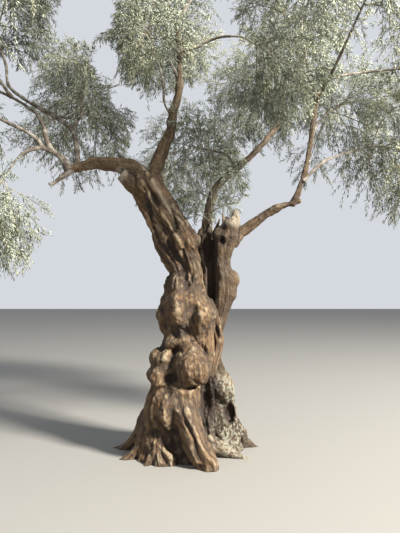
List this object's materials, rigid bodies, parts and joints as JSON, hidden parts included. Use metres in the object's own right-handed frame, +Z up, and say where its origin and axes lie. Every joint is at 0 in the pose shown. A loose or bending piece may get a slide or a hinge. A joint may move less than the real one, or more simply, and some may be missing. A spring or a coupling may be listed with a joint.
{
  "type": "olive tree",
  "caption": "Old olive tree with a hollow, twisted, burled trunk split by a cleft, spreading boughs and sparse grey-green foliage.",
  "frame": {"origin": "ground level at the middle of the trunk's base, in the flat cut under the trunk", "axes": "+Z up; the picture is taken from the -Y side, so +Y points to the tree's back and +X to its right"},
  "size_m": [6.3681, 5.0371, 6.1747],
  "materials": {
    "trunk_bark": "rough furrowed bark, ochre brown with grey-tan ridges",
    "limb_bark": "rough grey-brown bark",
    "foliage": "narrow matt leaves, grey-green above and silvery beneath"
  },
  "bodies": {
    "root": {"back_bough": "limb_bark", "back_left_limb": "limb_bark", "back_right_limb": "limb_bark", "centre_arching_limb": "limb_bark", "centre_back_limb": "limb_bark", "centre_bough": "limb_bark", "centre_front_limb": "limb_bark", "centre_left_limb": "limb_bark", "centre_low_limb": "limb_bark", "centre_right_limb": "limb_bark", "foliage_back_left": "foliage", "foliage_back_right": "foliage", "foliage_centre_back": "foliage", "foliage_centre_front": "foliage", "foliage_centre_left": "foliage", "foliage_centre_low": "foliage", "foliage_centre_right": "foliage", "foliage_cleft_shoots": "foliage", "foliage_left_back": "foliage", "foliage_left_crown": "foliage", "foliage_left_front": "foliage", "foliage_left_hanging": "foliage", "foliage_left_low": "foliage", "foliage_left_middle": "foliage", "foliage_left_outer": "foliage", "foliage_middle_right": "foliage", "foliage_right_back": "foliage", "foliage_right_front": "foliage", "foliage_right_low": "foliage", "foliage_right_outer": "foliage", "foliage_right_top": "foliage", "left_arching_limb": "limb_bark", "left_back_limb": "limb_bark", "left_bough": "limb_bark", "left_front_limb": "limb_bark", "left_inner_limb": "limb_bark", "left_lower_limb": "limb_bark", "left_middle_limb": "limb_bark", "left_snag": "limb_bark", "left_upper_limb": "limb_bark", "right_back_limb": "limb_bark", "right_bough": "limb_bark", "right_front_limb": "limb_bark", "right_outer_limb": "limb_bark", "right_riser": "limb_bark", "right_side_limb": "limb_bark", "right_top_limb": "limb_bark", "trunk": "trunk_bark"}
  },
  "joints": []
}
